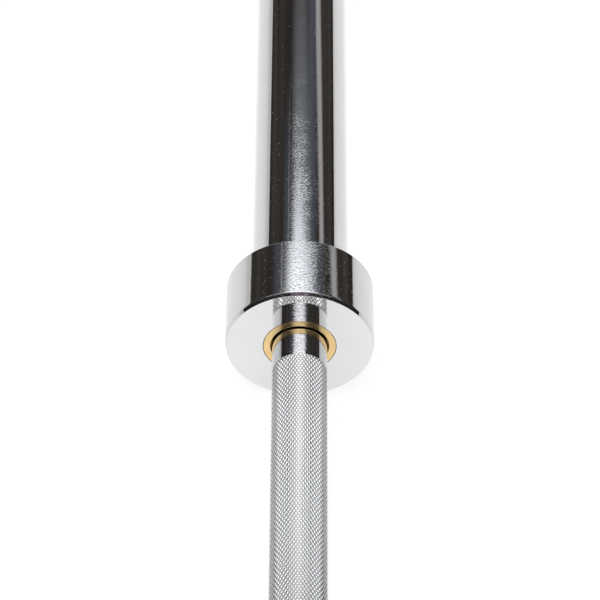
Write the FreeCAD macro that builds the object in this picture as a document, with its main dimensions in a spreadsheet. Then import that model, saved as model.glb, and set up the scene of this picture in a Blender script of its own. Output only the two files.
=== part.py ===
"""Olympic barbell: one knurled shaft with a free-turning sleeve at each end.

The bar lies along X with its middle at the origin and +Z up. Each sleeve assembly is modelled as the one
on the +X end, with its stations counted outwards from the middle of the bar. The other end holds the same
pieces turned half a turn about Z.
"""
import FreeCAD, Part
import os

import Sketcher

doc = FreeCAD.newDocument("olympic_barbell")

# Driving dimensions, in millimetres
SIZES = {
    # Whole bar: end to end, and the grip between the two collars
    "overall_length": 2200,
    "grip_length": 1310,
    # Shaft: plain diameter, how far the knurl stands proud of it, and where the knurl lies
    "shaft_dia": 28,
    "knurl_height": 0.1,
    "collar_to_knurl": 17.5,
    "collar_to_mark": 195,
    "mark_width": 5,
    "collar_to_knurl_end": 445,
    "centre_knurl_length": 120,
    # Shaft end: the journal that the outer bush runs on
    "journal_step": 1.5,
    "shaft_end_chamfer": 1,
    "shaft_end_to_cap": 3.5,
    # Collar: the shoulder that plates are pushed against
    "collar_dia": 76,
    "collar_width": 38,
    "collar_chamfer_step": 0.75,
    "collar_chamfer_width": 2.2,
    "collar_back_chamfer": 0.5,
    "collar_lip": 8,
    "collar_bore_chamfer": 0.8,
    # Sleeve tube: a spigot in the collar with a relief behind it, then the seat that plates slide on
    "sleeve_dia": 50,
    "sleeve_spigot_step": 0.5,
    "sleeve_relief_width": 1.5,
    "sleeve_bore_room": 2.75,
    "sleeve_end_chamfer": 1.5,
    # Bronze bushes, pressed into the collar and into both ends of the sleeve
    "bush_step": 1.95,
    "bush_clearance": 0.05,
    "bush_mouth_chamfer": 0.8,
    "bush_edge_step": 0.35,
    "bush_edge_length": 1,
    "bush_recess_step": 0.9,
    "bush_recess_depth": 10,
    "inner_bush_length": 36,
    "outer_bush_length": 30,
    # Thrust washers, on the journal either side of the outer bush
    "thrust_washer_thickness": 3,
    "shoulder_washer_thickness": 2,
    "washer_room": 0.6,
    "washer_clearance": 0.1,
    "washer_chamfer": 0.3,
    "end_float": 0.3,
    # Retaining ring on the shaft, which holds the sleeve on
    "shaft_ring_thickness": 1.2,
    "shaft_ring_groove": 0.6,
    "shaft_ring_to_end": 3,
    "shaft_ring_width": 3,
    "shaft_ring_tip_width": 1.5,
    "shaft_ring_gap": 5,
    "shaft_ring_lug_dia": 4.6,
    "shaft_ring_hole_dia": 2,
    # End cap, its rubber seal, and the ring that holds it in the sleeve
    "cap_step": 1.75,
    "cap_thickness": 7,
    "cap_clearance": 0.05,
    "cap_chamfer": 0.6,
    "cap_dish_depth": 0.8,
    "cap_dish_rim": 5,
    "seal_section": 2,
    "seal_clearance": 0.05,
    "cap_ring_thickness": 1.75,
    "cap_ring_groove": 1.25,
    "cap_ring_to_end": 2.5,
    "cap_ring_width": 4,
    "cap_ring_tip_width": 2.2,
    "cap_ring_gap": 9,
    "cap_ring_lug_dia": 6,
    "cap_ring_hole_dia": 2.5,
    # Both retaining rings: play across the groove, play at its floor, and how far a lug stands off the floor
    "ring_side_play": 0.1,
    "ring_fit": 0.05,
    "ring_lug_lift": 0.4,
    # How far a cut runs past the solid it cuts
    "overrun": 1,
}

# A lug's tip is cut flat: its middle stands this share of its radius away from the gap
LUG_TRIM_SHARE = 0.75

sheet = doc.addObject("Spreadsheet::Sheet", "Sizes")
for row, (alias, value) in enumerate(SIZES.items(), start=1):
    sheet.set(f"A{row}", alias)
    sheet.set(f"B{row}", str(value))
    sheet.setAlias(f"B{row}", alias)
doc.recompute()


def cell(alias):
    """The expression that reads one cell of the sheet."""
    return f"Sizes.{alias}"


# Radii, from the shaft outwards
SHAFT_R = f"({cell('shaft_dia')} / 2)"
KNURL_R = f"({SHAFT_R} + {cell('knurl_height')})"
JOURNAL_R = f"({SHAFT_R} - {cell('journal_step')})"
SHAFT_GROOVE_R = f"({JOURNAL_R} - {cell('shaft_ring_groove')})"
BORE_R = f"({SHAFT_R} + {cell('sleeve_bore_room')})"
BUSH_R = f"({BORE_R} + {cell('bush_step')})"
CAP_SEAT_R = f"({BUSH_R} + {cell('cap_step')})"
CAP_GROOVE_R = f"({CAP_SEAT_R} + {cell('cap_ring_groove')})"
SLEEVE_R = f"({cell('sleeve_dia')} / 2)"
SPIGOT_R = f"({SLEEVE_R} - {cell('sleeve_spigot_step')})"
COLLAR_R = f"({cell('collar_dia')} / 2)"
CAP_R = f"({CAP_SEAT_R} - {cell('cap_clearance')})"

# Stations along the bar, from its middle outwards
COLLAR_FACE = f"({cell('grip_length')} / 2)"
SLEEVE_END = f"({cell('overall_length')} / 2)"
CAP_RING_OUT = f"({SLEEVE_END} - {cell('cap_ring_to_end')})"
CAP_OUT = f"({CAP_RING_OUT} - {cell('cap_ring_thickness')})"
CAP_IN = f"({CAP_OUT} - {cell('cap_thickness')})"
SHAFT_END = f"({CAP_IN} - {cell('shaft_end_to_cap')})"
SHAFT_RING_OUT = f"({SHAFT_END} - {cell('shaft_ring_to_end')})"
THRUST_OUT = f"({SHAFT_RING_OUT} - {cell('shaft_ring_thickness')})"
OUTER_BUSH_OUT = f"({THRUST_OUT} - {cell('thrust_washer_thickness')} - {cell('end_float')})"
OUTER_BUSH_IN = f"({OUTER_BUSH_OUT} - {cell('outer_bush_length')})"
SHOULDER = f"({OUTER_BUSH_IN} - {cell('end_float')} - {cell('shoulder_washer_thickness')})"


def number(expression):
    """The present value of an expression, used to draw a sketch near its final shape."""
    value = sheet.evalExpression(expression)
    return float(getattr(value, "Value", value))


def new_body(label):
    body = doc.addObject("PartDesign::Body", label)
    body.Label = label
    return body


def new_sketch(body, name, role):
    """A sketch on one of the body's own origin planes."""
    sketch = body.newObject("Sketcher::SketchObject", name)
    plane = next(item for item in body.Origin.OriginFeatures if item.Role == role)
    sketch.AttachmentSupport = [(plane, "")]
    sketch.MapMode = "FlatFace"
    return sketch


def bind(sketch, name, constraint, expression):
    """Adds a named dimension that follows an expression."""
    index = sketch.addConstraint(constraint)
    sketch.renameConstraint(index, name)
    sketch.setExpression(f"Constraints.{name}", expression)


def set_along(sketch, name, geo, point, expression):
    """Places a point along the sketch's horizontal axis."""
    if expression == "0":
        sketch.addConstraint(Sketcher.Constraint("PointOnObject", geo, point, -2))
        return
    bind(sketch, name, Sketcher.Constraint("DistanceX", -1, 1, geo, point, number(expression)), expression)


def set_across(sketch, name, geo, point, expression):
    """Places a point along the sketch's vertical axis."""
    if expression == "0":
        sketch.addConstraint(Sketcher.Constraint("PointOnObject", geo, point, -1))
        return
    bind(sketch, name, Sketcher.Constraint("DistanceY", -1, 1, geo, point, number(expression)), expression)


def draw_outline(sketch, points):
    """A closed outline of straight edges through points given as pairs of expressions."""
    spots = [FreeCAD.Vector(number(along), number(across), 0) for along, across in points]
    for index, spot in enumerate(spots):
        sketch.addGeometry(Part.LineSegment(spot, spots[(index + 1) % len(spots)]), False)
    for index, (along, across) in enumerate(points):
        last = (index - 1) % len(points)
        sketch.addConstraint(Sketcher.Constraint("Coincident", last, 2, index, 1))
        if index and along == points[last][0]:
            sketch.addConstraint(Sketcher.Constraint("Vertical", last))
        else:
            set_along(sketch, f"along_{index}", index, 1, along)
        if index and across == points[last][1]:
            sketch.addConstraint(Sketcher.Constraint("Horizontal", last))
        else:
            set_across(sketch, f"across_{index}", index, 1, across)


def draw_circle(sketch, name, along, across, radius):
    """A circle with its middle and radius given as expressions."""
    middle = FreeCAD.Vector(number(along), number(across), 0)
    geo = sketch.addGeometry(Part.Circle(middle, FreeCAD.Vector(0, 0, 1), number(radius)), False)
    set_along(sketch, f"{name}_along", geo, 3, along)
    set_across(sketch, f"{name}_across", geo, 3, across)
    bind(sketch, f"{name}_radius", Sketcher.Constraint("Radius", geo, number(radius)), radius)


def turned(label, outline):
    """A piece turned on a lathe: half of its section, (station, radius) pairs, swept round X."""
    body = new_body(label)
    sketch = new_sketch(body, f"{label}_section", "XY_Plane")
    draw_outline(sketch, outline)
    turn = body.newObject("PartDesign::Revolution", f"{label}_turn")
    turn.Profile = sketch
    turn.ReferenceAxis = (sketch, ["H_Axis"])
    turn.Angle = 360
    sketch.Visibility = False
    return body, turn


def pad(body, name, sketch, thickness):
    """Thickens a sketch towards +X."""
    feature = body.newObject("PartDesign::Pad", name)
    feature.Profile = sketch
    feature.setExpression("Length", thickness)
    return feature


def cut_through(body, name, sketch):
    """Cuts a sketch's outline through everything, both ways."""
    feature = body.newObject("PartDesign::Pocket", name)
    feature.Profile = sketch
    feature.Type = "ThroughAll"
    feature.Midplane = True
    return feature


def seat(body, station, half_turn):
    """Puts a piece at its station on the +X end of the bar, or at the same place on the other end."""
    turn = FreeCAD.Rotation(FreeCAD.Vector(0, 0, 1), 180 if half_turn else 0)
    body.Placement = FreeCAD.Placement(FreeCAD.Vector(0, 0, 0), turn)
    body.setExpression(".Placement.Base.x", f"-{station}" if half_turn else station)
    return body


def make_shaft():
    """The one-piece bar: knurled grips with a smooth mark, and a journal under each outer bush."""
    mark_out = f"({COLLAR_FACE} - {cell('collar_to_mark')})"
    mark_in = f"({mark_out} - {cell('mark_width')})"
    knurl_out = f"({COLLAR_FACE} - {cell('collar_to_knurl')})"
    knurl_in = f"({COLLAR_FACE} - {cell('collar_to_knurl_end')})"
    centre_end = f"({cell('centre_knurl_length')} / 2)"
    rise = cell("knurl_height")
    groove_in = f"({THRUST_OUT} - {cell('ring_side_play')})"
    outline = [("0", "0"), ("0", KNURL_R), (f"{centre_end} - {rise}", KNURL_R), (centre_end, SHAFT_R)]
    for start, end in ((knurl_in, mark_in), (mark_out, knurl_out)):
        outline += [
            (start, SHAFT_R),
            (f"{start} + {rise}", KNURL_R),
            (f"{end} - {rise}", KNURL_R),
            (end, SHAFT_R),
        ]
    outline += [
        (SHOULDER, SHAFT_R),
        (SHOULDER, JOURNAL_R),
        (groove_in, JOURNAL_R),
        (groove_in, SHAFT_GROOVE_R),
        (SHAFT_RING_OUT, SHAFT_GROOVE_R),
        (SHAFT_RING_OUT, JOURNAL_R),
        (f"{SHAFT_END} - {cell('shaft_end_chamfer')}", JOURNAL_R),
        (SHAFT_END, f"{JOURNAL_R} - {cell('shaft_end_chamfer')}"),
        (SHAFT_END, "0"),
    ]
    body, turn = turned("shaft", outline)
    mirror = body.newObject("PartDesign::Mirrored", "shaft_other_half")
    mirror.Originals = [turn]
    mirror.MirrorPlane = (next(p for p in body.Origin.OriginFeatures if p.Role == "YZ_Plane"), [""])
    body.Tip = mirror
    return body


def make_collar(label):
    """Shoulder ring: a lip round the bush, a bore for the sleeve's spigot, and a slim chamfer in front."""
    width, lead_in = cell("collar_width"), cell("collar_bore_chamfer")
    back = cell("collar_back_chamfer")
    chamfer, rim_r = cell("collar_chamfer_width"), f"({COLLAR_R} - {cell('collar_chamfer_step')})"
    outline = [
        ("0", BUSH_R),
        ("0", rim_r),
        (chamfer, COLLAR_R),
        (f"{width} - {back}", COLLAR_R),
        (width, f"{COLLAR_R} - {back}"),
        (width, f"{SPIGOT_R} + {lead_in}"),
        (f"{width} - {lead_in}", SPIGOT_R),
        (cell("collar_lip"), SPIGOT_R),
        (cell("collar_lip"), BUSH_R),
    ]
    return turned(label, outline)[0]


def make_sleeve(label):
    """Sleeve tube from its spigot to the open end, with seats for the bushes, the cap and its ring."""
    end = f"({SLEEVE_END} - {COLLAR_FACE})"
    seat_in = f"({cell('collar_width')} + {cell('sleeve_relief_width')})"
    groove_out = f"({CAP_RING_OUT} - {COLLAR_FACE})"
    groove_in = f"({CAP_OUT} - {cell('ring_side_play')} - {COLLAR_FACE})"
    cap_seat = f"({CAP_IN} - {COLLAR_FACE})"
    bush_seat = f"({OUTER_BUSH_IN} - {COLLAR_FACE})"
    outline = [
        (cell("collar_lip"), BUSH_R),
        (cell("collar_lip"), SPIGOT_R),
        (seat_in, SPIGOT_R),
        (seat_in, SLEEVE_R),
        (f"{end} - {cell('sleeve_end_chamfer')}", SLEEVE_R),
        (end, f"{SLEEVE_R} - {cell('sleeve_end_chamfer')}"),
        (end, CAP_SEAT_R),
        (groove_out, CAP_SEAT_R),
        (groove_out, CAP_GROOVE_R),
        (groove_in, CAP_GROOVE_R),
        (groove_in, CAP_SEAT_R),
        (cap_seat, CAP_SEAT_R),
        (cap_seat, BUSH_R),
        (bush_seat, BUSH_R),
        (bush_seat, BORE_R),
        (cell("inner_bush_length"), BORE_R),
        (cell("inner_bush_length"), BUSH_R),
    ]
    return turned(label, outline)[0]


def make_bush(label, running_r, length, recessed):
    """Bronze bush with tapered outer edges to press it in by, and chamfered mouths.

    A recessed bush is bored out clear of the shaft at its front mouth instead.
    """
    bore_r = f"({running_r} + {cell('bush_clearance')})"
    mouth = cell("bush_mouth_chamfer")
    edge, edge_r = cell("bush_edge_length"), f"({BUSH_R} - {cell('bush_edge_step')})"
    outline = [
        ("0", edge_r),
        (edge, BUSH_R),
        (f"{length} - {edge}", BUSH_R),
        (length, edge_r),
        (length, f"{bore_r} + {mouth}"),
        (f"{length} - {mouth}", bore_r),
    ]
    if recessed:
        recess, recess_r = cell("bush_recess_depth"), f"({bore_r} + {cell('bush_recess_step')})"
        outline += [(recess, bore_r), (recess, recess_r), ("0", recess_r)]
    else:
        outline += [(mouth, bore_r), ("0", f"{bore_r} + {mouth}")]
    return turned(label, outline)[0]


def make_washer(label, housing_r, thickness):
    """Flat steel washer on the journal, clear of the bore around it."""
    outer_r = f"({housing_r} - {cell('washer_room')})"
    inner_r = f"({JOURNAL_R} + {cell('washer_clearance')})"
    chamfer = cell("washer_chamfer")
    outline = [
        ("0", inner_r),
        ("0", f"{outer_r} - {chamfer}"),
        (chamfer, outer_r),
        (f"{thickness} - {chamfer}", outer_r),
        (thickness, f"{outer_r} - {chamfer}"),
        (thickness, inner_r),
    ]
    return turned(label, outline)[0]


def make_cap(label):
    """Plain end cap: a dished disc with a groove for its seal half-way along the rim."""
    thickness, chamfer = cell("cap_thickness"), cell("cap_chamfer")
    dish_r = f"({CAP_R} - {cell('cap_dish_rim')})"
    dish = f"({thickness} - {cell('cap_dish_depth')})"
    groove_half = f"({cell('seal_section')} / 2 + {cell('seal_clearance')})"
    floor_r = f"({CAP_SEAT_R} - {cell('seal_section')})"
    outline = [
        ("0", "0"),
        ("0", f"{CAP_R} - {chamfer}"),
        (chamfer, CAP_R),
        (f"{thickness} / 2 - {groove_half}", CAP_R),
        (f"{thickness} / 2 - {groove_half}", floor_r),
        (f"{thickness} / 2 + {groove_half}", floor_r),
        (f"{thickness} / 2 + {groove_half}", CAP_R),
        (f"{thickness} - {chamfer}", CAP_R),
        (thickness, f"{CAP_R} - {chamfer}"),
        (thickness, f"{dish_r} + {cell('cap_dish_depth')}"),
        (dish, dish_r),
        (dish, "0"),
    ]
    return turned(label, outline)[0]


def make_seal(label):
    """Square-cut rubber ring that fills the cap's groove and keeps the cap from rattling."""
    outer_r = f"({CAP_SEAT_R} - {cell('seal_clearance')})"
    inner_r = f"({CAP_SEAT_R} - {cell('seal_section')} + {cell('seal_clearance')})"
    width = cell("seal_section")
    return turned(label, [("0", inner_r), ("0", outer_r), (width, outer_r), (width, inner_r)])[0]


def make_ring(label, kind, floor_r, outside):
    """Retaining ring with a tapering width, a gap at the top and a lug with a plier hole at each tip.

    floor_r is the groove's floor. A ring that grips from outside a shaft has its lugs outwards, and one
    that springs out into a bore has them inwards.
    """
    widest, tip = cell(f"{kind}_width"), cell(f"{kind}_tip_width")
    lug_r, gap = f"({cell(f'{kind}_lug_dia')} / 2)", cell(f"{kind}_gap")
    thickness = cell(f"{kind}_thickness")
    sign = "+" if outside else "-"
    seat_r = f"({floor_r} {sign} {cell('ring_fit')})"
    free_r = f"({seat_r} {sign} ({widest} + {tip}) / 2)"
    free_across = f"{'-' if outside else ''}(({widest} - {tip}) / 2)"
    lug_along = f"({gap} / 2 + {lug_r} * {LUG_TRIM_SHARE})"
    lug_out = f"({seat_r} {sign} ({lug_r} + {cell('ring_lug_lift')}))"
    lug_across = f"sqrt({lug_out} ^ 2 - {lug_along} ^ 2)"
    hole_r = f"({cell(f'{kind}_hole_dia')} / 2)"
    body = new_body(label)

    band = new_sketch(body, f"{label}_band", "YZ_Plane")
    draw_circle(band, "seat", "0", "0", seat_r)
    draw_circle(band, "free", "0", free_across, free_r)
    pad(body, f"{label}_band_pad", band, thickness)

    for side, sign_along in (("left", "-"), ("right", "")):
        lug = new_sketch(body, f"{label}_{side}_lug", "YZ_Plane")
        draw_circle(lug, "lug", f"{sign_along}{lug_along}", lug_across, lug_r)
        pad(body, f"{label}_{side}_lug_pad", lug, thickness)

    slot = new_sketch(body, f"{label}_gap", "YZ_Plane")
    top = f"({floor_r} + {widest} + {cell(f'{kind}_lug_dia')} + {cell('overrun')})"
    near, far = f"-{gap} / 2", f"{gap} / 2"
    draw_outline(slot, [(near, "0"), (far, "0"), (far, top), (near, top)])
    cut_through(body, f"{label}_gap_cut", slot)

    holes = new_sketch(body, f"{label}_holes", "YZ_Plane")
    draw_circle(holes, "left_hole", f"-{lug_along}", lug_across, hole_r)
    draw_circle(holes, "right_hole", lug_along, lug_across, hole_r)
    cut_through(body, f"{label}_holes_cut", holes)
    return body


def make_sleeve_assembly(side, half_turn):
    """Every piece on one end of the bar, from the collar outwards."""
    thrust_in = f"({THRUST_OUT} - {cell('thrust_washer_thickness')})"
    seal_in = f"({CAP_IN} + ({cell('cap_thickness')} - {cell('seal_section')}) / 2)"
    pieces = [
        (make_collar(f"{side}_collar"), COLLAR_FACE),
        (make_sleeve(f"{side}_sleeve"), COLLAR_FACE),
        (make_bush(f"{side}_inner_bush", SHAFT_R, cell("inner_bush_length"), True), COLLAR_FACE),
        (make_bush(f"{side}_outer_bush", JOURNAL_R, cell("outer_bush_length"), False), OUTER_BUSH_IN),
        (make_washer(f"{side}_shoulder_washer", BORE_R, cell("shoulder_washer_thickness")), SHOULDER),
        (make_washer(f"{side}_thrust_washer", BUSH_R, cell("thrust_washer_thickness")), thrust_in),
        (make_ring(f"{side}_shaft_ring", "shaft_ring", SHAFT_GROOVE_R, True), THRUST_OUT),
        (make_cap(f"{side}_end_cap"), CAP_IN),
        (make_seal(f"{side}_cap_seal"), seal_in),
        (make_ring(f"{side}_cap_ring", "cap_ring", CAP_GROOVE_R, False), CAP_OUT),
    ]
    return [seat(body, station, half_turn) for body, station in pieces]


bodies = [make_shaft()]
bodies += make_sleeve_assembly("right", False)
bodies += make_sleeve_assembly("left", True)
doc.recompute()

for item in doc.Objects:
    if "Invalid" in item.State or "Error" in item.State:
        raise RuntimeError(f"{item.Label} did not build: {item.State}")
for body in bodies:
    if body.Shape.isNull() or not body.Shape.isValid():
        raise RuntimeError(f"{body.Label} has no valid shape")

os.makedirs("parts", exist_ok=True)
for body in bodies:
    body.Shape.exportStep(f"parts/{body.Label}.step")
    box = body.Shape.BoundBox
    print(f"{body.Label}: {len(body.Shape.Solids)} solid, {body.Shape.Volume:.0f} mm3, "
          f"x {box.XMin:.2f} to {box.XMax:.2f}, z {box.ZMin:.2f} to {box.ZMax:.2f}")
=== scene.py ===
import math

import bmesh
import bpy
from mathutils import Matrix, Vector


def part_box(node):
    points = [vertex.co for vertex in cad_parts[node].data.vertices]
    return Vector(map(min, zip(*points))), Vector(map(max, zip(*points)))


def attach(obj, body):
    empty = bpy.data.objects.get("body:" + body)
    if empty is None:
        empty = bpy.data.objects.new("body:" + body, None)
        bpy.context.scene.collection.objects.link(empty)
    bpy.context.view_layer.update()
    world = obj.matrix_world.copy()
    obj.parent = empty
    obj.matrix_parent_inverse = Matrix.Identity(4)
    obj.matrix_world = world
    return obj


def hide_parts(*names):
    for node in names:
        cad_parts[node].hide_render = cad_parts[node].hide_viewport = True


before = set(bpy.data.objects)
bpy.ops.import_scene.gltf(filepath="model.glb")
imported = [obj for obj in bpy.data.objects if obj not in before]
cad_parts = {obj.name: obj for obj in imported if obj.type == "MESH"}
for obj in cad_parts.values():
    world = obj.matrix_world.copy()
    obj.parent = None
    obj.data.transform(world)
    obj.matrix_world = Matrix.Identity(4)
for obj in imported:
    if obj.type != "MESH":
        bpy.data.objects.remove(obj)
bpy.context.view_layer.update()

bpy.context.scene.view_settings.view_transform = "Standard"


# Shaft: one steel bar, turned and ground to 28 mm, then chromed. A thinner journal at each end carries the
# outer bush, with a groove for the ring that holds the sleeve on. The grips are cut back for their knurl.
MM = 0.001
MICRON = 0.001 * MM
SAME_PLACE = 1e-6
SHAFT_R = 14.0
JOURNAL_R = 12.5
RING_GROOVE_R = 11.9
RING_PLAY = 0.1
UNDER_KNURL_R = 13.2
SHAFT_CHAMFER = 1.0
SHAFT_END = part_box("shaft")[1].x / MM
SHOULDER_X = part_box("right_shoulder_washer")[0].x / MM
RING_IN, RING_OUT = (corner.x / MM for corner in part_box("right_shaft_ring"))
COLLAR_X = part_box("right_collar")[0].x / MM
CENTRE_GRIP = (-60.0, 60.0)
INNER_GRIP = (COLLAR_X - 445.0, COLLAR_X - 200.0)
OUTER_GRIP = (COLLAR_X - 195.0, COLLAR_X - 17.5)
SHAFT_TINT = (0.78, 0.785, 0.795)
PIT_FADE = (COLLAR_X + 30.0, COLLAR_X + 240.0)
SPECK_GRID = 760.0
SPECK_TINT = (0.66, 0.65, 0.63)
LATHE_STEPS = 192
LATHE_SHARP = math.radians(32)


def pick(mode, test):
    """Selects the corners, edges or faces of the mesh in hand that pass a test."""
    bpy.ops.mesh.select_mode(type=mode)
    bpy.ops.mesh.select_all(action="DESELECT")
    shape = bmesh.from_edit_mesh(bpy.context.object.data)
    for item in {"VERT": shape.verts, "EDGE": shape.edges, "FACE": shape.faces}[mode]:
        item.select_set(bool(test(item)))
    shape.select_flush_mode()
    bmesh.update_edit_mesh(bpy.context.object.data)


def turn(name, section, rounded=()):
    """Turns a piece as on a lathe: half its section, (station, radius) pairs in mm, spun round the axis.

    A section that starts and ends on the axis is solid, and any other is joined up into a ring. The corners
    in rounded, (station, radius, size), are broken with a small curve before the spin.
    """
    bpy.ops.object.select_all(action="DESELECT")
    bpy.ops.mesh.primitive_plane_add(size=MM)
    piece = bpy.context.object
    piece.name = piece.data.name = name
    bpy.ops.object.mode_set(mode="EDIT")
    bpy.ops.mesh.select_mode(type="VERT")
    bpy.ops.mesh.select_all(action="SELECT")
    bpy.ops.mesh.merge(type="CENTER")
    bpy.ops.transform.translate(value=(section[0][0] * MM, 0, section[0][1] * MM))
    for (x, r), (next_x, next_r) in zip(section, section[1:]):
        step = ((next_x - x) * MM, 0, (next_r - r) * MM)
        bpy.ops.mesh.extrude_vertices_move(TRANSFORM_OT_translate={"value": step})
    if section[0][1] > 0:
        pick("VERT", lambda corner: len(corner.link_edges) == 1)
        bpy.ops.mesh.edge_face_add()
    for x, r, size in rounded:
        spot = Vector((x * MM, 0, r * MM))
        pick("VERT", lambda corner: (corner.co - spot).length < SAME_PLACE)
        bpy.ops.mesh.bevel(offset=size * MM, segments=4, affect="VERTICES")
    bpy.ops.mesh.select_all(action="SELECT")
    bpy.ops.mesh.spin(steps=LATHE_STEPS, angle=math.tau, center=(0, 0, 0), axis=(1, 0, 0))
    bpy.ops.mesh.select_all(action="SELECT")
    bpy.ops.mesh.remove_doubles(threshold=SAME_PLACE)
    bpy.ops.mesh.normals_make_consistent(inside=False)
    bpy.ops.object.mode_set(mode="OBJECT")
    bpy.ops.object.shade_smooth_by_angle(angle=LATHE_SHARP)
    bpy.ops.object.modifier_add(type="WEIGHTED_NORMAL")
    piece.modifiers[-1].keep_sharp = True
    bpy.ops.object.modifier_apply(modifier=piece.modifiers[-1].name)
    return piece


half_shaft = [
    (CENTRE_GRIP[1], UNDER_KNURL_R),
    (CENTRE_GRIP[1], SHAFT_R),
    (INNER_GRIP[0], SHAFT_R),
    (INNER_GRIP[0], UNDER_KNURL_R),
    (INNER_GRIP[1], UNDER_KNURL_R),
    (INNER_GRIP[1], SHAFT_R),
    (OUTER_GRIP[0], SHAFT_R),
    (OUTER_GRIP[0], UNDER_KNURL_R),
    (OUTER_GRIP[1], UNDER_KNURL_R),
    (OUTER_GRIP[1], SHAFT_R),
    (SHOULDER_X, SHAFT_R),
    (SHOULDER_X, JOURNAL_R),
    (RING_IN - RING_PLAY, JOURNAL_R),
    (RING_IN - RING_PLAY, RING_GROOVE_R),
    (RING_OUT, RING_GROOVE_R),
    (RING_OUT, JOURNAL_R),
    (SHAFT_END - SHAFT_CHAMFER, JOURNAL_R),
    (SHAFT_END, JOURNAL_R - SHAFT_CHAMFER),
    (SHAFT_END, 0.0),
]
shaft = turn("chromed_shaft", [(-x, r) for x, r in reversed(half_shaft)] + half_shaft)


class Wire:
    """A socket in a finish's node tree. Sums on it add Math nodes, and add() brings in any other node."""

    def __init__(self, tree, socket=None):
        self.tree = tree
        self.socket = socket

    def add(self, kind, settings=None, sockets=None, out=0):
        node = self.tree.nodes.new(kind)
        for name, value in (settings or {}).items():
            setattr(node, name, value)
        for name, value in (sockets or {}).items():
            if isinstance(value, Wire):
                self.tree.links.new(value.socket, node.inputs[name])
            else:
                node.inputs[name].default_value = value
        return Wire(self.tree, node.outputs[out] if node.outputs else None)

    def output(self, name):
        """Another output of the node that this wire comes from."""
        return Wire(self.tree, self.socket.node.outputs[name])

    def axes(self):
        """The x, y and z of this place."""
        parts = self.add("ShaderNodeSeparateXYZ", sockets={"Vector": self})
        return [parts.output(axis) for axis in "XYZ"]

    def maths(self, operation, *others):
        return self.add("ShaderNodeMath", {"operation": operation}, dict(enumerate((self, *others))))

    def __add__(self, other):
        return self.maths("ADD", other)

    def __radd__(self, other):
        return self.maths("ADD", other)

    def __sub__(self, other):
        return self.maths("SUBTRACT", other)

    def __rsub__(self, other):
        return self.add("ShaderNodeMath", {"operation": "SUBTRACT"}, {0: other, 1: self})

    def __mul__(self, other):
        return self.maths("MULTIPLY", other)

    def __rmul__(self, other):
        return self.maths("MULTIPLY", other)

    def __truediv__(self, other):
        return self.maths("DIVIDE", other)

    def __gt__(self, other):
        return self.maths("GREATER_THAN", other)

    def fade(self, start, end):
        """0 before start and 1 after end, with a smooth step between them."""
        sockets = {"Value": self, "From Min": start, "From Max": end}
        return self.add("ShaderNodeMapRange", {"interpolation_type": "SMOOTHSTEP"}, sockets)

    def noise(self, stretch, detail):
        """Noise on this place, in cells per millimetre along each axis."""
        size = tuple(cells / MM for cells in stretch)
        spread = self.add("ShaderNodeMapping", {"vector_type": "POINT"}, {"Vector": self, "Scale": size})
        return self.add("ShaderNodeTexNoise", sockets={"Vector": spread, "Scale": 1.0, "Detail": detail})

    def choose(self, without, within):
        """One colour where this mask is 0 and another where it is 1, with a mix of them between."""
        sockets = {0: self}
        for entry, colour in ((6, without), (7, within)):
            sockets[entry] = colour if isinstance(colour, Wire) else (*colour, 1.0)
        return self.add("ShaderNodeMix", {"data_type": "RGBA"}, sockets, out=2)

    def bump(self):
        """The surface's normal, where this is its height in micrometres."""
        return self.add("ShaderNodeBump", sockets={"Height": self * MICRON, "Strength": 1.0, "Distance": 1.0})


def new_finish(name):
    """A new material, its shader, and a wire with the place on the piece in metres."""
    material = bpy.data.materials.new(name)
    material.use_nodes = True
    tree = material.node_tree
    place = Wire(tree).add("ShaderNodeTexCoord", out=3)
    return material, tree.nodes["Principled BSDF"], place


def feed(shader, **sockets):
    """Links or sets the shader's sockets; a name's underscores stand for spaces."""
    for name, value in sockets.items():
        entry = shader.inputs[name.replace("_", " ")]
        if isinstance(value, Wire):
            value.tree.links.new(value.socket, entry)
        else:
            entry.default_value = value


def off_axis(place):
    """How far a place is from the bar's axis, in mm."""
    x, y, z = place.axes()
    return (y * y + z * z).maths("SQRT") / MM


def facing_up(place):
    """How much a turned surface faces up, from -1 to 1."""
    x, y, z = place.axes()
    return z / MM / off_axis(place)


def chrome(name, tint, rough, lathe_depth, pit_depth, dust):
    """Plated steel: fine lathe marks that run round the bar, small pits from wear, and specks of dust.

    The depths are in micrometres, and dust is the share of the places for a speck that hold one. The pits lie
    mostly on top, and die away along the sleeve.
    """
    material, shader, place = new_finish(name)
    from_middle = place.axes()[0].maths("ABSOLUTE") / MM
    lathe = place.noise((1.4, 0.09, 0.09), detail=3.0)
    wear = place.noise((0.09, 0.05, 0.05), detail=2.0)
    worn = (0.12 + facing_up(place).fade(0.89, 0.97) * 0.88) * (0.55 + wear.fade(0.35, 0.65) * 0.7)
    worn = worn * (1.0 - from_middle.fade(*PIT_FADE) * 0.85)
    pits = place.noise((1.6, 0.8, 0.8), detail=1.0).fade(0.46, 0.78) * worn
    cell = place.add("ShaderNodeTexVoronoi", sockets={"Vector": place, "Scale": SPECK_GRID})
    chance = cell.add("ShaderNodeSeparateColor", sockets={"Color": cell.output("Color")})
    size = chance.fade(1.0 - dust, 1.0)
    speck = (chance > 1.0 - dust) * (1.0 - (cell / (0.06 + size * 0.11)).fade(0.5, 1.0))
    cloudy = wear.choose(tint, tuple(part * 0.94 for part in tint))
    feed(
        shader,
        Base_Color=speck.choose(cloudy, SPECK_TINT),
        Metallic=1.0 - speck * 0.9,
        Roughness=rough + (lathe - 0.5) * rough * 0.5 + pits * 0.06 + speck * 0.5,
        Normal=(lathe * lathe_depth + pits * pit_depth).bump(),
    )
    return material


shaft_chrome = chrome("shaft_chrome", SHAFT_TINT, 0.05, lathe_depth=5.0, pit_depth=20.0, dust=0.4)
shaft.data.materials.append(shaft_chrome)
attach(shaft, "bar")
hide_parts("shaft")


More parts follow.
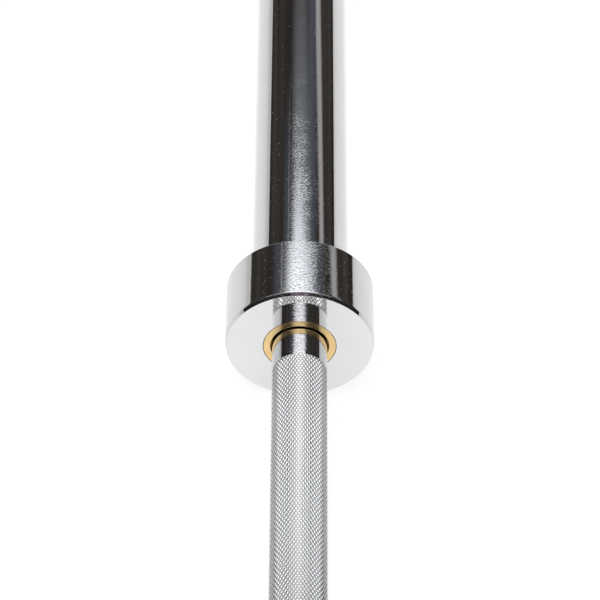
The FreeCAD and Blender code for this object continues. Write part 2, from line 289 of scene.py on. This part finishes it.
# Knurl: two crossing sets of grooves rolled into the grips before plating, which leave staggered diamonds. It
# stops short at the smooth mark and next to the collar, where the grooves run out into the plain shaft.
KNURL_ROUND = 45
KNURL_PITCH = 3.05
KNURL_ROOT_R = 13.64
KNURL_GROOVE = (0.10, 0.20)
KNURL_FLANK = (0.52, 0.26)
KNURL_END_FLANK = (0.40, 0.22)
KNURL_SHADE_EDGE = (KNURL_ROOT_R + 0.165, KNURL_ROOT_R + 0.255)
KNURL_PLATING = (0.85, 0.855, 0.865)
KNURL_PAINTED_SHADE = (0.09, 0.088, 0.085)
KNURL_PAINTED_TOP_LIGHT = (0.50, 0.50, 0.49)
KNURL_SHARP = math.radians(25)
ROOT_SLACK = 0.01


def knurl_finish(name):
    """The shaft's plating on the diamonds. Their grooves are coloured dark as painted shade, and paler where
    they face up as painted light.
    """
    material, shader, place = new_finish(name)
    grain = place.noise((1.5, 1.5, 1.5), detail=3.0)
    # Painted shade: the grooves, below the diamonds' crowns, are coloured dark and rough
    on_crown = (off_axis(place) + (grain - 0.5) * 0.06).fade(*KNURL_SHADE_EDGE)
    # Painted light: where the grooves face up they are coloured paler and not metallic
    painted_light_on_top = facing_up(place).fade(0.80, 0.96)
    feed(
        shader,
        Base_Color=on_crown.choose(painted_light_on_top.choose(KNURL_PAINTED_SHADE, KNURL_PAINTED_TOP_LIGHT), KNURL_PLATING),
        Metallic=1.0 - (1.0 - on_crown) * painted_light_on_top,
        Roughness=0.45 - on_crown * 0.31 + (grain - 0.5) * 0.1,
        Normal=(grain * 3.0).bump(),
    )
    return material


def widen(share):
    """Moves what is selected away from the bar's axis, or towards it."""
    bpy.ops.transform.resize(value=(1, share, share), center_override=(0, 0, 0))


def knurl(name, start, end, finish):
    """A band of diamonds between two stations in mm, closed inside by a plain bore."""
    rows = round((end - start) / KNURL_PITCH)
    bpy.ops.object.select_all(action="DESELECT")
    bpy.ops.mesh.primitive_cylinder_add(
        vertices=KNURL_ROUND,
        radius=KNURL_ROOT_R * MM,
        depth=(end - start) * MM,
        end_fill_type="NOTHING",
        location=((start + end) / 2 * MM, 0, 0),
        rotation=(0, math.pi / 2, 0),
    )
    band = bpy.context.object
    band.name = band.data.name = name
    bpy.ops.object.transform_apply(location=True, rotation=True)
    bpy.ops.object.mode_set(mode="EDIT")

    def radius(corner):
        return math.hypot(corner.co.y, corner.co.z) / MM

    def length_along(edge):
        return abs(edge.verts[0].co.x - edge.verts[1].co.x)

    def at_the_end(corner):
        return min(abs(corner.co.x - start * MM), abs(corner.co.x - end * MM)) < SAME_PLACE

    def runs_along(edge):
        return length_along(edge) > KNURL_PITCH * MM * 0.9

    def runs_across(edge):
        return length_along(edge) < SAME_PLACE and not at_the_end(edge.verts[0])

    def at_the_root(face):
        return all(radius(corner) < KNURL_ROOT_R + ROOT_SLACK for corner in face.verts)

    pick("EDGE", runs_along)
    bpy.ops.mesh.subdivide(number_cuts=rows - 1)
    bpy.ops.mesh.select_all(action="SELECT")
    bpy.ops.mesh.poke()
    pick("VERT", lambda corner: radius(corner) < KNURL_ROOT_R - ROOT_SLACK)
    widen(1 / math.cos(math.pi / KNURL_ROUND))
    pick("EDGE", lambda edge: runs_along(edge) or runs_across(edge))
    bpy.ops.mesh.dissolve_edges(use_verts=False)
    for corners, steps in ((4, (KNURL_GROOVE, KNURL_FLANK)), (3, (KNURL_GROOVE, KNURL_END_FLANK))):
        pick("FACE", lambda face: len(face.verts) == corners and at_the_root(face))
        for thickness, depth in steps:
            bpy.ops.mesh.inset(thickness=thickness * MM, depth=depth * MM, use_individual=True)
    pick("VERT", at_the_end)
    widen(SHAFT_R / KNURL_ROOT_R)
    pick("EDGE", lambda edge: edge.is_boundary)
    bpy.ops.mesh.extrude_region_move()
    widen(UNDER_KNURL_R / SHAFT_R)
    bpy.ops.mesh.bridge_edge_loops()
    bpy.ops.mesh.select_all(action="SELECT")
    bpy.ops.mesh.normals_make_consistent(inside=False)
    bpy.ops.object.mode_set(mode="OBJECT")
    bpy.ops.object.shade_smooth_by_angle(angle=KNURL_SHARP)
    band.data.materials.append(finish)
    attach(band, "bar")


knurl_chrome = knurl_finish("knurl_chrome")
knurl("centre_knurl", *CENTRE_GRIP, knurl_chrome)
for side, sign in (("right", 1), ("left", -1)):
    knurl(f"{side}_inner_knurl", *sorted(sign * x for x in INNER_GRIP), knurl_chrome)
    knurl(f"{side}_outer_knurl", *sorted(sign * x for x in OUTER_GRIP), knurl_chrome)


# Washers and shaft rings: a steel washer each side of the outer bush takes the end thrust, and a blackened
# spring ring in the shaft's groove keeps them, and the sleeve, on the journal.
WASHER_TINT = (0.56, 0.56, 0.57)
RING_TINT = (0.12, 0.12, 0.13)


def steel(name, tint, rough):
    """Ground or blackened steel: cloudy, with a fine grain."""
    material, shader, place = new_finish(name)
    grain = place.noise((2.5, 0.6, 0.6), detail=4.0)
    feed(
        shader,
        Base_Color=grain.fade(0.25, 0.75).choose(tint, tuple(part * 0.75 for part in tint)),
        Metallic=1.0,
        Roughness=rough + (grain - 0.5) * 0.2,
        Normal=(grain * 3.0).bump(),
    )
    return material


def dress(node, material):
    """Gives a CAD piece that keeps its own shape its finish."""
    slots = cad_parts[node].data.materials
    slots.clear()
    slots.append(material)


washer_steel = steel("washer_steel", WASHER_TINT, 0.32)
spring_steel = steel("spring_steel", RING_TINT, 0.38)
for side in ("right", "left"):
    dress(f"{side}_shoulder_washer", washer_steel)
    dress(f"{side}_thrust_washer", washer_steel)
    dress(f"{side}_shaft_ring", spring_steel)


# Collar: a thick ring of chromed steel, turned, polished and pressed onto the sleeve's spigot. Its front edge
# has a long slim chamfer and its back edge, where plates are pushed against it, a small one.
COLLAR_WIDTH = 38.0
COLLAR_R = 38.0
COLLAR_CHAMFER = (2.2, 0.75)
COLLAR_ROLL_OFF = (0.8, 0.05)
COLLAR_BACK_CHAMFER = 0.5
COLLAR_BORE_CHAMFER = 0.8
COLLAR_LIP = 8.0
BUSH_R = 18.7
SPIGOT_R = 24.5
SLEEVE_TINT = (0.78, 0.78, 0.785)


def other_end(piece, name):
    """A copy of a piece on the other end of the bar, turned half a turn about Z."""
    bpy.ops.object.select_all(action="DESELECT")
    piece.select_set(True)
    bpy.context.view_layer.objects.active = piece
    bpy.ops.object.duplicate()
    copy = bpy.context.object
    copy.name = copy.data.name = name
    copy.rotation_euler.z = math.pi
    bpy.ops.object.transform_apply(rotation=True)
    return copy


def fit_to_sleeves(piece, label, node):
    """Names a right-hand piece, copies it to the other end, and puts both on their sleeve assemblies."""
    piece.name = piece.data.name = f"right_{label}"
    for side, made in (("right", piece), ("left", other_end(piece, f"left_{label}"))):
        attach(made, f"{side}_sleeve_assembly")
        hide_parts(f"{side}_{node}")


collar_back = COLLAR_X + COLLAR_WIDTH
collar_rim = COLLAR_R - COLLAR_CHAMFER[1]
collar_edge = COLLAR_R - COLLAR_ROLL_OFF[1]
edge_in, edge_out = COLLAR_X + COLLAR_CHAMFER[0], collar_back - COLLAR_BACK_CHAMFER
collar = turn(
    "collar",
    [
        (COLLAR_X, BUSH_R),
        (COLLAR_X, collar_rim),
        (edge_in, collar_edge),
        (edge_in + COLLAR_ROLL_OFF[0], COLLAR_R),
        (edge_out, COLLAR_R),
        (collar_back, COLLAR_R - COLLAR_BACK_CHAMFER),
        (collar_back, SPIGOT_R + COLLAR_BORE_CHAMFER),
        (collar_back - COLLAR_BORE_CHAMFER, SPIGOT_R),
        (COLLAR_X + COLLAR_LIP, SPIGOT_R),
        (COLLAR_X + COLLAR_LIP, BUSH_R),
    ],
    [
        (COLLAR_X, collar_rim, 0.1),
        (edge_in, collar_edge, 0.06),
        (edge_out, COLLAR_R, 0.1),
        (collar_back, COLLAR_R - COLLAR_BACK_CHAMFER, 0.1),
    ],
)
collar_chrome = chrome("collar_chrome", SLEEVE_TINT, 0.05, lathe_depth=4.5, pit_depth=25.0, dust=0.45)
face_chrome = chrome("collar_face_chrome", SLEEVE_TINT, 0.03, lathe_depth=0.3, pit_depth=0.3, dust=0.0)
collar.data.materials.append(collar_chrome)
collar.data.materials.append(face_chrome)
bpy.ops.object.mode_set(mode="EDIT")
pick("FACE", lambda face: abs(face.normal.x) > 0.25)
collar.active_material_index = 1
bpy.ops.object.material_slot_assign()
bpy.ops.object.mode_set(mode="OBJECT")
fit_to_sleeves(collar, "collar_ring", "collar")


# Sleeve: a chromed steel tube that the plates slide on. Its spigot sits in the collar, and its open end is
# bored for the outer bush, the end cap and the ring that keeps the cap in.
SLEEVE_R = 25.0
SLEEVE_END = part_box("right_sleeve")[1].x / MM
SLEEVE_CHAMFER = 1.5
SLEEVE_BORE_R = 16.75
CAP_SEAT_R = 20.45
CAP_GROOVE_R = 21.7
BUSH_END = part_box("right_inner_bush")[1].x / MM
OUTER_BUSH_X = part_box("right_outer_bush")[0].x / MM
CAP_IN, CAP_OUT = (corner.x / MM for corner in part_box("right_end_cap"))
CAP_RING_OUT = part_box("right_cap_ring")[1].x / MM
RELIEF_OUT = collar_back + 1.5
sleeve = turn(
    "sleeve",
    [
        (COLLAR_X + COLLAR_LIP, BUSH_R),
        (COLLAR_X + COLLAR_LIP, SPIGOT_R),
        (RELIEF_OUT, SPIGOT_R),
        (RELIEF_OUT, SLEEVE_R),
        (SLEEVE_END - SLEEVE_CHAMFER, SLEEVE_R),
        (SLEEVE_END, SLEEVE_R - SLEEVE_CHAMFER),
        (SLEEVE_END, CAP_SEAT_R),
        (CAP_RING_OUT, CAP_SEAT_R),
        (CAP_RING_OUT, CAP_GROOVE_R),
        (CAP_OUT - RING_PLAY, CAP_GROOVE_R),
        (CAP_OUT - RING_PLAY, CAP_SEAT_R),
        (CAP_IN, CAP_SEAT_R),
        (CAP_IN, BUSH_R),
        (OUTER_BUSH_X, BUSH_R),
        (OUTER_BUSH_X, SLEEVE_BORE_R),
        (BUSH_END, SLEEVE_BORE_R),
        (BUSH_END, BUSH_R),
    ],
    [
        (RELIEF_OUT, SLEEVE_R, 0.15),
        (SLEEVE_END - SLEEVE_CHAMFER, SLEEVE_R, 0.3),
        (SLEEVE_END, SLEEVE_R - SLEEVE_CHAMFER, 0.2),
        (SLEEVE_END, CAP_SEAT_R, 0.2),
    ],
)
sleeve_chrome = chrome("sleeve_chrome", SLEEVE_TINT, 0.05, lathe_depth=3.0, pit_depth=17.0, dust=0.2)
sleeve.data.materials.append(sleeve_chrome)
fit_to_sleeves(sleeve, "sleeve_tube", "sleeve")


# Bushes: plain bronze bearings pressed into the collar and into the sleeve's far end. The inner one shows as
# a golden ring, turned flat with the collar's face. Its mouth is bored out a little wider than the shaft.
BUSH_BORE_R = 14.05
BUSH_MOUTH_R = 14.95
BUSH_MOUTH_DEPTH = 10.0
BUSH_BACK_CHAMFER = 0.8
BUSH_LEAD = (1.0, 0.35)
BRONZE = (0.86, 0.63, 0.32)
BRONZE_STAIN = (0.80, 0.57, 0.27)


def bronze(name):
    """Bearing bronze as it comes off the lathe: golden, satin, with rings left by the tool."""
    material, shader, place = new_finish(name)
    tool_path = {"W": off_axis(place), "Scale": 6.0, "Detail": 2.0}
    rings = place.add("ShaderNodeTexNoise", {"noise_dimensions": "1D"}, tool_path)
    stain = place.noise((0.25, 0.25, 0.25), detail=3.0)
    feed(
        shader,
        Base_Color=stain.fade(0.3, 0.75).choose(BRONZE, BRONZE_STAIN),
        Metallic=1.0,
        Roughness=0.24 + (rings - 0.5) * 0.12,
        Normal=(rings * 2.0).bump(),
    )
    return material


bush_bronze = bronze("bush_bronze")
bush = turn(
    "bush",
    [
        (COLLAR_X, BUSH_MOUTH_R),
        (COLLAR_X, BUSH_R - BUSH_LEAD[1]),
        (COLLAR_X + BUSH_LEAD[0], BUSH_R),
        (BUSH_END - BUSH_LEAD[0], BUSH_R),
        (BUSH_END, BUSH_R - BUSH_LEAD[1]),
        (BUSH_END, BUSH_BORE_R + BUSH_BACK_CHAMFER),
        (BUSH_END - BUSH_BACK_CHAMFER, BUSH_BORE_R),
        (COLLAR_X + BUSH_MOUTH_DEPTH, BUSH_BORE_R),
        (COLLAR_X + BUSH_MOUTH_DEPTH, BUSH_MOUTH_R),
    ],
    [(COLLAR_X, BUSH_MOUTH_R, 0.12)],
)
bush.data.materials.append(bush_bronze)
fit_to_sleeves(bush, "bronze_bush", "inner_bush")
for side in ("right", "left"):
    dress(f"{side}_outer_bush", bush_bronze)


# End cap: a chromed disc with a shallow dish, in the sleeve's end. A rubber ring in its rim stops it
# rattling, and a blackened spring ring in front keeps it in.
CAP_R = 20.4
CAP_CHAMFER = 0.6
DISH_R = CAP_R - 5.0
DISH_DEPTH = 0.8
SEAL_PLAY = 0.05
SEAL_FLOOR_R = CAP_SEAT_R - 2.0
SEAL_IN, SEAL_OUT = (corner.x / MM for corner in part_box("right_cap_seal"))
RUBBER = (0.018, 0.018, 0.019)
RUBBER_BLOOM = (0.05, 0.05, 0.05)
cap = turn(
    "cap",
    [
        (CAP_IN, 0.0),
        (CAP_IN, CAP_R - CAP_CHAMFER),
        (CAP_IN + CAP_CHAMFER, CAP_R),
        (SEAL_IN - SEAL_PLAY, CAP_R),
        (SEAL_IN - SEAL_PLAY, SEAL_FLOOR_R),
        (SEAL_OUT + SEAL_PLAY, SEAL_FLOOR_R),
        (SEAL_OUT + SEAL_PLAY, CAP_R),
        (CAP_OUT - CAP_CHAMFER, CAP_R),
        (CAP_OUT, CAP_R - CAP_CHAMFER),
        (CAP_OUT, DISH_R + DISH_DEPTH),
        (CAP_OUT - DISH_DEPTH, DISH_R),
        (CAP_OUT - DISH_DEPTH, 0.0),
    ],
    [(CAP_OUT, DISH_R + DISH_DEPTH, 0.25), (CAP_OUT - DISH_DEPTH, DISH_R, 0.25)],
)
cap_chrome = chrome("cap_chrome", SLEEVE_TINT, 0.12, lathe_depth=1.0, pit_depth=8.0, dust=0.4)
cap.data.materials.append(cap_chrome)
fit_to_sleeves(cap, "cap_disc", "end_cap")


def rubber(name):
    """Moulded black rubber with a faint bloom."""
    material, shader, place = new_finish(name)
    bloom = place.noise((0.4, 0.4, 0.4), detail=4.0)
    feed(
        shader,
        Base_Color=bloom.choose(RUBBER, RUBBER_BLOOM),
        Roughness=0.55 + bloom * 0.2,
        Normal=(bloom * 8.0).bump(),
    )
    return material


seal_rubber = rubber("seal_rubber")
for side in ("right", "left"):
    dress(f"{side}_cap_seal", seal_rubber)
    dress(f"{side}_cap_ring", spring_steel)


# Studio floor: a wide pale sheet that the collars stand on. It is white to the camera, and to the chrome it
# carries a painted pool of light, brightest by the bar and darker away from it. The world gives even light.
WORLD_LIGHT = 0.55
FLOOR_RADIUS = 40.0
FLOOR_GLOW = 0.8
FLOOR_GLOW_IN_CHROME = 0.79
FLOOR_PAINTED_LIGHT_FALL_OFF = 0.43
FLOOR_PAINT = (0.3, 0.3, 0.3, 1.0)
WHITE = (1.0, 1.0, 1.0)


def rays(tree):
    """Two masks: rays from the camera, and rays from polished metal or through glass."""
    path = Wire(tree).add("ShaderNodeLightPath")
    mirrored = path.output("Is Glossy Ray") + path.output("Is Transmission Ray")
    return path.output("Is Camera Ray"), mirrored.maths("MINIMUM", 1.0)


def bare_finish(name):
    """A material with no shader yet, and a wire with the place on the piece in metres."""
    material = bpy.data.materials.new(name)
    material.use_nodes = True
    material.node_tree.nodes.clear()
    return material, Wire(material.node_tree).add("ShaderNodeTexCoord", out=3)


world = bpy.data.worlds.new("studio")
world.use_nodes = True
bpy.context.scene.world = world
camera_ray, mirror_ray = rays(world.node_tree)
backdrop = world.node_tree.nodes["Background"]
feed(backdrop, Color=(*WHITE, 1.0), Strength=WORLD_LIGHT + (camera_ray + mirror_ray) * (1.0 - WORLD_LIGHT))

bpy.ops.object.select_all(action="DESELECT")
bpy.ops.mesh.primitive_circle_add(
    vertices=64,
    radius=FLOOR_RADIUS,
    fill_type="NGON",
    location=(0, 0, -COLLAR_R * MM),
)
floor = bpy.context.object
floor.name = "floor"
bpy.ops.object.transform_apply(location=True)
paper, place = bare_finish("floor_paper")
camera_ray, mirror_ray = rays(paper.node_tree)
aside = place.axes()[1].maths("ABSOLUTE")
clear = (aside - 0.05).maths("MAXIMUM", 0.0)
far = (clear / 2.0).maths("POWER", 0.25).maths("MINIMUM", 0.8)
# Painted pool of light: to the chrome the floor's glow falls off with distance from the bar
glow = camera_ray * FLOOR_GLOW + mirror_ray * (FLOOR_GLOW_IN_CHROME - far * FLOOR_PAINTED_LIGHT_FALL_OFF)
light = glow.add("ShaderNodeEmission", sockets={"Color": (*WHITE, 1.0), "Strength": glow})
matt = glow.add("ShaderNodeBsdfDiffuse", sockets={"Color": FLOOR_PAINT})
both = light.add("ShaderNodeAddShader", sockets={0: light, 1: matt})
both.add("ShaderNodeOutputMaterial", sockets={"Surface": both})
floor.data.materials.append(paper)


# Studio canopy: a dark dome with a soft box over the bar, side boxes, a boom and white sweeps at its ends,
# which only the chrome sees. Directions on it are in degrees: lift is up from ahead of the bar, and aside is
# round the bar.
CANOPY_RADIUS = 38.0
CANOPY_FOOT = -0.5
DEGREE = math.pi / 180
CLOTH = (0.022, 0.019, 0.017)
CLOTH_WORN = (0.052, 0.046, 0.042)
BLUE_HAZE = (0.09, 0.10, 0.12)
BEAM = (0.38, 0.37, 0.37)
RIM = (0.5, 0.5, 0.52)
BOX_EDGE = (1.38, 1.50, 1.64)
BOX_LOW = (1.46, 1.48, 1.52)
BOX_HIGH = (1.58, 1.60, 1.64)
BOX_OVERHEAD = (0.95, 0.96, 0.98)
BOX_BEHIND = (1.74, 1.75, 1.78)
WING_AHEAD = (1.70, 1.71, 1.74)
WING_BEHIND = (3.2, 3.2, 3.2)
WING_LOW = (0.42, 0.42, 0.42)
BOOM = (0.02, 0.019, 0.018)
BOOM_STAND = (0.135, 0.10, 0.125)
BOOM_BEND = 0.000022
GAP_LIGHT = (0.58, 0.58, 0.57)


def between(value, rise, fall):
    """1 on a stretch of a value, with a fade at each end, and 0 elsewhere."""
    return value.fade(*rise) * (1.0 - value.fade(*fall))


bpy.ops.object.select_all(action="DESELECT")
bpy.ops.mesh.primitive_uv_sphere_add(
    segments=64,
    ring_count=32,
    radius=CANOPY_RADIUS,
    location=(COLLAR_X * MM, 0, 0),
)
canopy = bpy.context.object
canopy.name = "canopy"
bpy.ops.object.mode_set(mode="EDIT")
bpy.ops.mesh.select_all(action="SELECT")
bpy.ops.mesh.bisect(plane_co=(0, 0, CANOPY_FOOT), plane_no=(0, 0, 1), clear_inner=True)
bpy.ops.object.mode_set(mode="OBJECT")
cloth, place = bare_finish("canopy_cloth")
cloth.cycles.emission_sampling = "NONE"
ahead, left, up = place.axes()
lift = up.maths("ARCTAN2", ahead) / DEGREE
aside = (left * -1.0).maths("ARCTAN2", up) / DEGREE
turned = aside.maths("ABSOLUTE")
along = ahead.maths("ABSOLUTE") / CANOPY_RADIUS
height = (up / CANOPY_RADIUS).maths("ARCSINE") / DEGREE
height_along = up.maths("ARCTAN2", ahead.maths("ABSOLUTE")) / DEGREE

# Cloth: mottled, with a bluish haze on each side of the soft box
mottle = place.add("ShaderNodeTexNoise", sockets={"Vector": place, "Scale": 0.16, "Detail": 3.0})
nearby = 1.0 - along.fade(0.70, 0.745)
haze_left = between(aside, (-46.0, -36.0), (-30.0, -24.0)) * nearby
haze_right = between(aside, (16.0, 26.0), (30.0, 42.0))
glow = mottle.fade(0.3, 0.7).choose(CLOTH, CLOTH_WORN)
glow = (haze_left * 0.7 + haze_right * 0.8).choose(glow, BLUE_HAZE)
# Beam: it crosses ahead of the bar on one side, and shows as a grey strip
beam = between(lift, (27.0, 30.5), (33.5, 36.0)) * aside.fade(33.0, 40.0)
glow = beam.choose(glow, BEAM)
# Rim: the bright side of the soft box's frame
rim = between(aside, (-30.5, -29.0), (-28.5, -27.5)) * (1.0 - lift.fade(60.0, 80.0)) * nearby
glow = (rim * 0.6).choose(glow, RIM)
# Wings: a box on each side, brighter behind the bar
wings = between(along, (0.08, 0.14), (0.36, 0.44)) * between(turned, (20.0, 26.0), (78.0, 84.0))
wing_light = ahead.fade(-1.0, 1.0).choose(WING_BEHIND, WING_AHEAD)
glow = wings.choose(glow, turned.fade(34.0, 62.0).choose(wing_light, WING_LOW))
# Soft box: its lower edge is ahead of the bar and a little askew, and it fades out towards that edge
edge = lift - aside * 0.042
soft = 1.0 - lift.fade(50.0, 75.0)
box = edge.fade(43.7, 47.3) * 0.90 + edge.fade(36.0, 45.0) * 0.10
box = box * between(aside, (-31.0 - soft * 1.0, -26.0 + soft * 18.0), (22.0 - soft * 4.5, 27.0 + soft * 3.0))
box = box * (1.0 - lift.fade(132.5, 135.5))
box_light = edge.fade(45.0, 47.5).choose(BOX_EDGE, BOX_LOW)
box_light = lift.fade(52.0, 75.0).choose(box_light, BOX_HIGH)
box_light = lift.fade(93.0, 98.0).choose(box_light, BOX_OVERHEAD)
box_light = lift.fade(112.0, 122.0).choose(box_light, BOX_BEHIND)
glow = box.choose(glow, box_light)
# Boom: a dark bow right overhead, across the bar, with a dim stand in its middle
bow = between(ahead / CANOPY_RADIUS - turned * turned * BOOM_BEND, (0.0, 0.03), (0.135, 0.165))
glow = bow.choose(glow, (1.0 - turned.fade(11.0, 13.0)).choose(BOOM, BOOM_STAND))
# Sweeps: white paper low down at both ends
sweep = along.fade(0.83, 0.87) * (1.0 - height_along.fade(27.0, 31.0))
glow = sweep.choose(glow, WHITE)
# Gap: the canopy stops short of the floor on one side
gap = (1.0 - height.fade(4.5, 6.0)) * left.fade(-1.0, 1.0)
glow = gap.choose(glow, GAP_LIGHT)

light = glow.add("ShaderNodeEmission", sockets={"Color": glow, "Strength": 1.0})
light.add("ShaderNodeOutputMaterial", sockets={"Surface": light})
canopy.data.materials.append(cloth)
canopy.visible_camera = False
canopy.visible_diffuse = False
canopy.visible_shadow = False


# Lamp and camera: a soft round lamp overhead, which the chrome doesn't mirror, and a camera above the bar's
# middle that looks down along it at one collar.
LAMP_PLACE = (0.2, 0.3, 2.5)
CAMERA_PLACE = (-0.253217, -0.00002, 1.0094945)
CAMERA_DOWN = 0.82093
CAMERA_ROLL = 0.00606
SENSOR = 36.0
PICTURE_WIDTH = 600.0
FOCAL_PIXELS = 2679.087

bpy.ops.object.light_add(type="AREA", location=LAMP_PLACE)
lamp = bpy.context.object
lamp.data.shape = "DISK"
lamp.data.size = 2.4
lamp.data.energy = 32.0
lamp.visible_glossy = False
lamp.visible_camera = False

bpy.ops.object.camera_add(location=CAMERA_PLACE)
camera = bpy.context.object
camera.rotation_euler = (math.pi / 2 - CAMERA_DOWN, 0.0, -math.pi / 2)
camera.rotation_euler.rotate_axis("Z", CAMERA_ROLL)
camera.data.sensor_width = SENSOR
camera.data.lens = FOCAL_PIXELS * SENSOR / PICTURE_WIDTH
bpy.context.scene.camera = camera
